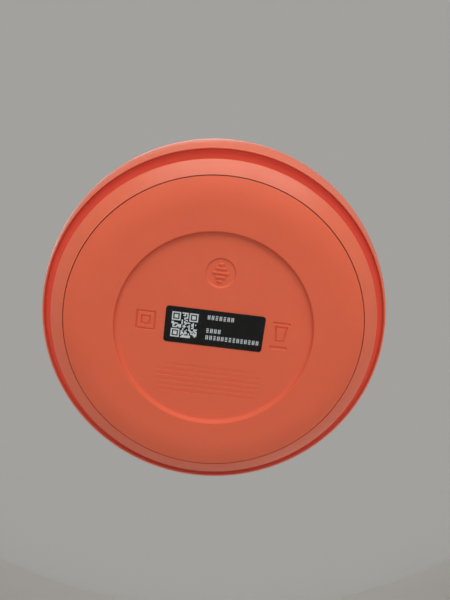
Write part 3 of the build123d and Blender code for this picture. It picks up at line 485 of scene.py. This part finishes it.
def board_laminate():
    """Glass-epoxy board under green solder mask: tracks show as paler lines 0.8 mm apart."""
    material, tree, shader, place = start("fr4_solder_mask", Roughness=0.28, IOR=1.55)
    tracks = add(
        tree, "ShaderNodeTexBrick",
        {"Vector": place, "Scale": 1 / (3.2 * MM),
         "Mortar Size": 0.06, "Brick Width": 1.6, "Row Height": 0.25,
         "Color1": linear("#0E4A2A"), "Color2": linear("#115432"), "Mortar": linear("#2C8A57")},
    )
    feed(shader, "Base Color", tracks.outputs["Color"])
    feed(shader, "Normal", relief(tree, tracks.outputs["Fac"], 0.03 * MM))
    return material


def tinned_steel():
    """Tin-plated steel sheet, pressed: bright, with soft drawing marks."""
    return metal("steel_tinned", "#D0D0CC", 0.26, 0.4 * MM, 0.004 * MM, (1.0, 0.15, 1.0))


def chip_epoxy():
    """Moulded epoxy of the chips: black, gritty with its filler."""
    return moulded("epoxy_moulded", "#1E1E20", 0.6, 0.12 * MM, 0.006 * MM, 0.15, IOR=1.55)


def capacitor_can():
    """Drawn aluminium can: brushed round its side."""
    return metal("aluminium_drawn", "#D4D5D8", 0.3, 0.3 * MM, 0.003 * MM, (1.0, 1.0, 0.1))


def led_lens():
    """Silicone encapsulant with phosphor: milky yellow."""
    return moulded("silicone_phosphor", "#F1E3A0", 0.3, 0.3 * MM, 0.002 * MM, IOR=1.46,
                   Subsurface_Weight=0.2, Subsurface_Scale=1.0 * MM)


def socket_steel():
    """Stainless steel, nickel plated and deep drawn: bright, with fine lengthwise lines."""
    return metal("steel_nickel_plated", "#C9C6C0", 0.24, 0.2 * MM, 0.002 * MM, (1.0, 0.1, 1.0))


def contact_gold():
    """Hard gold plating on the contacts."""
    return metal("gold_hard_plated", "#E8BE6A", 0.22, 0.1 * MM, 0.001 * MM)


def ribbon_film():
    """Polyester film over flat conductors, which show as grey lines."""
    material, tree, shader, place = start("polyester_flat_cable", Roughness=0.3, IOR=1.57)
    lines = ridges(tree, place, 0.5 * MM, bands_direction="X")
    feed(shader, "Base Color", between(tree, lines, linear("#F0EFEA"), linear("#9C9C9A")))
    return material


def acoustic_mesh():
    """Woven polyester over the microphones: black, with openings 0.12 mm apart painted near-black
    as the shade seen through them.
    """
    material, tree, shader, place = start("polyester_acoustic_mesh_painted_shade", Roughness=0.75)
    holes = add(tree, "ShaderNodeTexVoronoi",
                {"Vector": place, "Scale": 1 / (0.12 * MM), "Randomness": 0.0})
    # painted shade: each opening is painted near-black for the dark hole behind it
    shade = between(tree, holes.outputs["Distance"], linear("#060606"), linear("#4A4A4C"))
    feed(shader, "Base Color", shade)
    feed(shader, "Normal", relief(tree, holes.outputs["Distance"], 0.03 * MM))
    return material


def dress(material, *names):
    """Gives CAD nodes a material."""
    for name in names:
        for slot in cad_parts[name].material_slots:
            slot.material = material


# ---- helpers for new pieces ----


def take(piece):
    """Makes a piece the only one selected, and the active one."""
    bpy.ops.object.select_all(action="DESELECT")
    piece.select_set(True)
    bpy.context.view_layer.objects.active = piece


def plate(size, corner):
    """Thin plate centred on the origin, its upright corners rounded."""
    bpy.ops.object.select_all(action="DESELECT")
    bpy.ops.mesh.primitive_cube_add(size=1)
    piece = bpy.context.object
    bpy.ops.object.mode_set(mode="EDIT")
    bpy.ops.mesh.select_all(action="SELECT")
    bpy.ops.transform.resize(value=size)
    bpy.ops.mesh.select_mode(type="EDGE")
    bpy.ops.mesh.select_all(action="DESELECT")
    mesh = bmesh.from_edit_mesh(piece.data)
    for edge in mesh.edges:
        ends = edge.verts[1].co - edge.verts[0].co
        edge.select_set(abs(ends.z) > 0.9 * ends.length)
    bmesh.update_edit_mesh(piece.data)
    bpy.ops.mesh.bevel(offset=corner, segments=2, affect="EDGES")
    bpy.ops.object.mode_set(mode="OBJECT")
    return piece


def turned(piece, angle):
    """Turns a piece's mesh about Z, and hands the piece back."""
    take(piece)
    bpy.ops.object.mode_set(mode="EDIT")
    bpy.ops.mesh.select_all(action="SELECT")
    bpy.ops.transform.rotate(value=angle, orient_axis="Z", center_override=(0, 0, 0))
    bpy.ops.object.mode_set(mode="OBJECT")
    return piece


def copies(pattern, places):
    """Copies of a piece at the places, each with its own mesh. The pattern itself goes."""
    made = []
    for place in places:
        copy = pattern.copy()
        copy.data = pattern.data.copy()
        copy.location = place
        bpy.context.collection.objects.link(copy)
        made.append(copy)
    bpy.data.objects.remove(pattern)
    return made


def joined(name, parts, material, body):
    """The parts as one piece with its place in its mesh, riding on a body."""
    bpy.ops.object.select_all(action="DESELECT")
    for part in parts:
        part.select_set(True)
    piece = parts[0]
    bpy.context.view_layer.objects.active = piece
    if len(parts) > 1:
        bpy.ops.object.join()
    bpy.ops.object.transform_apply(location=True, rotation=True, scale=True)
    bpy.ops.object.shade_smooth_by_angle(angle=SMOOTH_ANGLE)
    piece.name = name
    piece.data.name = name
    piece.data.materials.clear()
    piece.data.materials.append(material)
    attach(piece, body)
    return piece


# ---- operators ----


class SPEAKER_OT_camera(bpy.types.Operator):
    """Puts the camera under the speaker, looking up at its foot"""

    bl_idname = "speaker.camera"
    bl_label = "Camera"

    def execute(self, context):
        stage = context.scene.speaker_stage
        data = bpy.data.cameras.new("camera")
        data.lens = stage.lens
        data.sensor_width = 36
        data.clip_start = 0.005
        camera = bpy.data.objects.new("camera", data)
        camera.location = stage.eye
        camera.rotation_euler = stage.turn
        context.scene.collection.objects.link(camera)
        context.scene.camera = camera
        return {"FINISHED"}


def shelf_glass():
    """Clear glass: see-through, with a faint mirror that grows towards the horizon."""
    material = bpy.data.materials.new("glass_clear")
    material.use_nodes = True
    tree = material.node_tree
    tree.nodes.clear()
    clear = add(tree, "ShaderNodeBsdfTransparent")
    mirror = add(tree, "ShaderNodeBsdfGlossy", {"Roughness": 0.15})
    edge = add(tree, "ShaderNodeFresnel", {"IOR": 1.33})
    mix = add(tree, "ShaderNodeMixShader",
              {0: edge.outputs["Fac"], 1: clear.outputs["BSDF"], 2: mirror.outputs["BSDF"]})
    add(tree, "ShaderNodeOutputMaterial", {"Surface": mix.outputs["Shader"]})
    return material


def floor_paint():
    """Matt pale paint on the floor."""
    material, tree, shader, place = start("paint_matt_pale", Roughness=0.9)
    feed(shader, "Base Color", mottle(tree, place, linear("#E6E3DE"), 0.4, 0.02))
    return material


def soft_light(name, place, width, height, power):
    """Rectangular soft light, aimed at the speaker."""
    data = bpy.data.lights.new(name, "AREA")
    data.shape = "RECTANGLE"
    data.size, data.size_y = width, height
    data.energy = power
    light = bpy.data.objects.new(name, data)
    light.location = place
    aim = Vector((0, 0, AIM_HEIGHT)) - Vector(place)
    light.rotation_euler = aim.to_track_quat("-Z", "Y").to_euler()
    light.visible_camera = False
    bpy.context.scene.collection.objects.link(light)


class SPEAKER_OT_stage(bpy.types.Operator):
    """Makes the clear shelf, the pale floor far below it, and the soft lights"""

    bl_idname = "speaker.stage"
    bl_label = "Stage"

    def execute(self, context):
        stage = context.scene.speaker_stage
        for name, height, material in (
            ("shelf", -SHELF_DROP, shelf_glass()),
            ("floor", -stage.drop, floor_paint()),
        ):
            bpy.ops.object.select_all(action="DESELECT")
            bpy.ops.mesh.primitive_plane_add(size=SHEET_SIDE, location=(0, 0, height))
            sheet = context.object
            sheet.name = name
            sheet.data.materials.append(material)
        soft_light("key_light", (0.0, -0.62, -0.31), 0.9, 0.5, stage.key)
        soft_light("top_light", (-0.1, 0.1, 1.0), 0.9, 0.9, stage.top)
        soft_light("back_light", (0.5, 0.6, 0.5), 0.6, 0.5, stage.top * BACK_SHARE)
        world = context.scene.world or bpy.data.worlds.new("room")
        context.scene.world = world
        world.use_nodes = True
        back = world.node_tree.nodes["Background"]
        back.inputs["Color"].default_value = linear("#F4F2EE")
        back.inputs["Strength"].default_value = stage.sky
        context.scene.view_settings.view_transform = "Standard"
        return {"FINISHED"}


class SPEAKER_OT_base_finish(bpy.types.Operator):
    """Gives the foot, the label, the base cup and what is in the base their materials"""

    bl_idname = "speaker.base_finish"
    bl_label = "Base finish"

    def execute(self, context):
        colours = context.scene.speaker_colours
        dress(silicone(colours), "foot_pad")
        dress(label_film(colours), "id_label")
        dress(base_plastic(colours), "base_cup")
        # the slot's parts get the deeper red of painted shade
        dress(slot_plastic_painted_shade(colours), "sound_deflector", "dust_screen", "baffle")
        dress(plated_steel(), "ballast_plate")
        return {"FINISHED"}


class SPEAKER_OT_shell_finish(bpy.types.Operator):
    """Gives the outer shell, the cover, the light ring and the keys their materials"""

    bl_idname = "speaker.shell_finish"
    bl_label = "Shell and top finish"

    def execute(self, context):
        colours = context.scene.speaker_colours
        dress(shell_plastic(colours), "outer_shell")
        dress(cover_plastic(colours), "top_cover")
        dress(light_guide(colours), "light_ring")
        dress(key_plastic(colours), "key_action", "key_volume_up", "key_volume_down", "key_mute")
        return {"FINISHED"}


class SPEAKER_OT_driver_finish(bpy.types.Operator):
    """Gives the driver, the rear chamber and the screws their materials"""

    bl_idname = "speaker.driver_finish"
    bl_label = "Driver finish"

    def execute(self, context):
        rubber = black_rubber()
        dress(rubber, "chamber_seal", "wire_grommet", "cone_surround", "mic_boots")
        dress(screw_steel(), "base_screws", "chamber_screws", "shell_screws", "driver_screws",
              "port_screws", "board_screws")
        dress(gasket_foam(), "driver_gasket")
        dress(coated_steel(), "driver_frame")
        dress(turned_steel(), "driver_washer", "driver_yoke")
        dress(ferrite(), "driver_magnet")
        dress(tinned_brass(), "driver_terminals")
        dress(former_aluminium(), "coil_former")
        dress(copper_winding(), "voice_coil")
        dress(pressed_pulp(), "driver_cone", "dust_cap")
        dress(spider_cloth(), "cone_spider")
        dress(wire_jacket(), "speaker_wires")
        return {"FINISHED"}


class SPEAKER_OT_electronics_finish(bpy.types.Operator):
    """Gives the boards, their parts and the power port their materials"""

    bl_idname = "speaker.electronics_finish"
    bl_label = "Electronics finish"

    def execute(self, context):
        dress(black_plastic(), "rear_chamber", "wire_plug", "socket_tongue", "port_connector",
              "board_connector", "switch_bodies", "plunger_action", "plunger_volume_up",
              "plunger_volume_down", "plunger_mute")
        dress(board_laminate(), "main_board", "port_board")
        dress(tinned_steel(), "shield_can", "antenna", "microphones")
        dress(chip_epoxy(), "processor", "memory_chip", "amplifier_chip", "power_coils")
        dress(capacitor_can(), "capacitors")
        dress(led_lens(), "leds")
        dress(socket_steel(), "socket_shell")
        dress(ribbon_film(), "power_ribbon")
        return {"FINISHED"}


def code_places(sizes, centre):
    """Places of the code's cells: three framed corners, and cells that say nothing between them."""
    count, cell = sizes.code_cells, sizes.code_side / sizes.code_cells
    chance = random.Random(sizes.code_seed)
    places = []
    for row in range(count):
        for column in range(count):
            filled = chance.random() < 0.5
            for corner_row, corner_column in (
                (0, 0), (0, count - CORNER_CELLS), (count - CORNER_CELLS, 0),
            ):
                i, j = row - corner_row, column - corner_column
                if -1 <= i <= CORNER_CELLS and -1 <= j <= CORNER_CELLS:
                    ring = max(abs(i - CORNER_CELLS // 2), abs(j - CORNER_CELLS // 2))
                    filled = ring in (0, 1, 3)
            if filled:
                right = sizes.code_right + (column - (count - 1) / 2) * cell
                up = sizes.code_up - (row - (count - 1) / 2) * cell
                places.append(centre + Vector((right, -up, 0)))
    return places


class SPEAKER_OT_label_print(bpy.types.Operator):
    """Prints the label: a code square that says nothing, and rows of plain marks"""

    bl_idname = "speaker.label_print"
    bl_label = "Label print"

    def execute(self, context):
        sizes = context.scene.speaker_print
        low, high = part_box("id_label")
        thick = sizes.ink_height
        centre = Vector(((low[0] + high[0]) / 2, (low[1] + high[1]) / 2, low[2] - thick / 2))
        cell = sizes.code_side / sizes.code_cells
        parts = copies(plate((cell, cell, thick), cell * 0.12), code_places(sizes, centre))
        upright, level = [], []
        chance = random.Random(sizes.code_seed)
        for up, count in LABEL_ROWS:
            for i in range(count):
                spot = centre + Vector((sizes.rows_left + i * sizes.mark_pitch, -up, 0))
                if chance.random() < 0.5:
                    upright += [spot + Vector((side * UPRIGHT_GAP, 0, 0)) for side in (-1, 1)]
                else:
                    level += [spot + Vector((0, side * LEVEL_GAP, 0)) for side in (-1, 0, 1)]
        corner = sizes.stroke * 0.3
        parts += copies(plate((sizes.stroke, sizes.mark_height, thick), corner), upright)
        length = sizes.mark_height * LEVEL_SHARE
        parts += copies(plate((length, sizes.stroke, thick), corner), level)
        ink = label_ink(context.scene.speaker_colours)
        joined("label_print", parts, ink, "housing")
        return {"FINISHED"}


def key_middle(key):
    """Middle of a key's dished top, where its sign goes."""
    low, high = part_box(key)
    return Vector(((low[0] + high[0]) / 2, (low[1] + high[1]) / 2, high[2] - KEY_DISH))


def half_ring(radius, thick, height):
    """Half of a flat ring, open towards +Y."""
    bpy.ops.object.select_all(action="DESELECT")
    bpy.ops.mesh.primitive_torus_add(
        major_radius=radius, minor_radius=thick / 2, major_segments=32, minor_segments=8)
    piece = bpy.context.object
    bpy.ops.object.mode_set(mode="EDIT")
    bpy.ops.mesh.select_all(action="SELECT")
    bpy.ops.transform.resize(value=(1, 1, height / thick))
    bpy.ops.mesh.bisect(plane_co=(0, 0, 0), plane_no=(0, 1, 0), clear_outer=True, use_fill=True)
    bpy.ops.object.mode_set(mode="OBJECT")
    return piece


class SPEAKER_OT_key_signs(bpy.types.Operator):
    """Prints a sign on each key: a dot, a plus, a minus and a struck-out microphone"""

    bl_idname = "speaker.key_signs"
    bl_label = "Key signs"

    def execute(self, context):
        ink = sign_ink(context.scene.speaker_colours)
        line, height = SIGN_LINE, SIGN_HEIGHT
        bar = (3.0 * MM, line, height)
        level = plate(bar, line * 0.45)
        upright = turned(plate(bar, line * 0.45), math.pi / 2)
        dot = plate((1.5 * MM, 1.5 * MM, height), 0.7 * MM)
        capsule = plate((1.1 * MM, 1.9 * MM, height), 0.5 * MM)
        capsule.location.y = 0.45 * MM
        cradle = half_ring(1.05 * MM, 0.3 * MM, height)
        cradle.location.y = 0.2 * MM
        stem = plate((0.3 * MM, 0.8 * MM, height), 0.1 * MM)
        stem.location.y = -1.2 * MM
        strike = turned(plate((4.0 * MM, 0.32 * MM, height), 0.14 * MM), math.radians(-45))
        minus = copies(level, ((0, 0, 0), (0, 0, 0)))
        signs = {"action": [dot], "volume_up": [minus[0], upright], "volume_down": [minus[1]],
                 "mute": [capsule, cradle, stem, strike]}
        for key, parts in signs.items():
            for part in parts:
                part.location += key_middle(f"key_{key}")
            joined(f"sign_{key}", parts, ink, f"{key}_key")
        return {"FINISHED"}


class SPEAKER_OT_socket_contacts(bpy.types.Operator):
    """Lays the gold contacts on both faces of the socket's tongue"""

    bl_idname = "speaker.socket_contacts"
    bl_label = "Socket contacts"

    def execute(self, context):
        low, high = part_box("socket_tongue")
        pad = plate(CONTACT_SIZE, CONTACT_CORNER)
        depth = high[1] - CONTACT_IN
        places = [
            ((i - (CONTACTS - 1) / 2) * CONTACT_PITCH, depth, height)
            for i in range(CONTACTS) for height in (low[2], high[2])
        ]
        pads = copies(pad, places)
        joined("socket_contacts", pads, contact_gold(), "housing")
        return {"FINISHED"}


class SPEAKER_OT_microphone_meshes(bpy.types.Operator):
    """Sets a small domed mesh in each microphone hole of the cover"""

    bl_idname = "speaker.microphone_meshes"
    bl_label = "Microphone meshes"

    def execute(self, context):
        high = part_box("mic_boots")[1]
        radius, rise = MESH_RADIUS, MESH_RISE
        ring = high[0] - MESH_IN
        bpy.ops.object.select_all(action="DESELECT")
        bpy.ops.mesh.primitive_cylinder_add(vertices=24, radius=radius, depth=rise)
        mesh_disc = context.object
        bpy.ops.object.mode_set(mode="EDIT")
        bpy.ops.mesh.select_mode(type="FACE")
        bpy.ops.mesh.select_all(action="DESELECT")
        mesh = bmesh.from_edit_mesh(mesh_disc.data)
        for face in mesh.faces:
            face.select_set(face.normal.z > 0.9)
        bmesh.update_edit_mesh(mesh_disc.data)
        bpy.ops.mesh.inset(thickness=radius * 0.3, depth=rise * 0.6)
        bpy.ops.mesh.inset(thickness=radius * 0.3, depth=rise * 0.3)
        bpy.ops.object.mode_set(mode="OBJECT")
        height = high[2] + MESH_UP
        turns = [i * 2 * math.pi / MICROPHONES for i in range(MICROPHONES)]
        places = [(ring * math.cos(turn), ring * math.sin(turn), height) for turn in turns]
        discs = copies(mesh_disc, places)
        joined("microphone_meshes", discs, acoustic_mesh(), "housing")
        return {"FINISHED"}


def wedge(node, index, count):
    """One of equal wedges of a round CAD node, left open where it is cut, and the way it points."""
    piece = bpy.data.objects.new(f"{node}_{index + 1:02d}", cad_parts[node].data.copy())
    bpy.context.collection.objects.link(piece)
    take(piece)
    middle, half = 2 * math.pi * index / count, math.pi / count
    bpy.ops.object.mode_set(mode="EDIT")
    for side in (-1, 1):
        across = middle + side * (half + math.pi / 2)
        bpy.ops.mesh.select_all(action="SELECT")
        normal = (math.cos(across), math.sin(across), 0)
        bpy.ops.mesh.bisect(plane_co=(0, 0, 0), plane_no=normal, clear_outer=True, use_fill=True)
    bpy.ops.object.mode_set(mode="OBJECT")
    return piece, Vector((math.cos(middle), math.sin(middle), 0))


class SPEAKER_OT_flexing_rings(bpy.types.Operator):
    """Cuts the cone's rubber edge and cloth spider into wedges, and hides the uncut nodes"""

    bl_idname = "speaker.flexing_rings"
    bl_label = "Flexing rings"

    def execute(self, context):
        count = context.scene.speaker_stage.wedges
        for node, moving, still_share, moving_share in FLEXING_RINGS:
            for index in range(count):
                piece, way = wedge(node, index, count)
                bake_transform(piece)
                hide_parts(node)
        return {"FINISHED"}


STEPS = (
    SPEAKER_OT_camera,
    SPEAKER_OT_stage,
    SPEAKER_OT_base_finish,
    SPEAKER_OT_shell_finish,
    SPEAKER_OT_driver_finish,
    SPEAKER_OT_electronics_finish,
    SPEAKER_OT_label_print,
    SPEAKER_OT_key_signs,
    SPEAKER_OT_socket_contacts,
    SPEAKER_OT_microphone_meshes,
    SPEAKER_OT_flexing_rings,
)


class SPEAKER_PT_panel(bpy.types.Panel):
    """Sidebar panel with the settings and the steps"""

    bl_idname = "SPEAKER_PT_panel"
    bl_label = "Smart speaker"
    bl_space_type = "VIEW_3D"
    bl_region_type = "UI"
    bl_category = "Speaker"

    def draw(self, context):
        scene = context.scene
        for group in (scene.speaker_colours, scene.speaker_print, scene.speaker_stage):
            box = self.layout.box()
            for name in group.__annotations__:
                box.prop(group, name)
        for step in STEPS:
            self.layout.operator(step.bl_idname)


CLASSES = (SpeakerColours, PrintSizes, StageSettings, *STEPS, SPEAKER_PT_panel)


def register():
    for cls in CLASSES:
        bpy.utils.register_class(cls)
    bpy.types.Scene.speaker_colours = PointerProperty(type=SpeakerColours)
    bpy.types.Scene.speaker_print = PointerProperty(type=PrintSizes)
    bpy.types.Scene.speaker_stage = PointerProperty(type=StageSettings)


def unregister():
    del bpy.types.Scene.speaker_stage
    del bpy.types.Scene.speaker_print
    del bpy.types.Scene.speaker_colours
    for cls in reversed(CLASSES):
        bpy.utils.unregister_class(cls)


def main():
    """Registers the classes and takes every step in order."""
    register()
    for step in STEPS:
        group, name = step.bl_idname.split(".")
        getattr(getattr(bpy.ops, group), name)()


if __name__ == "__main__":
    main()
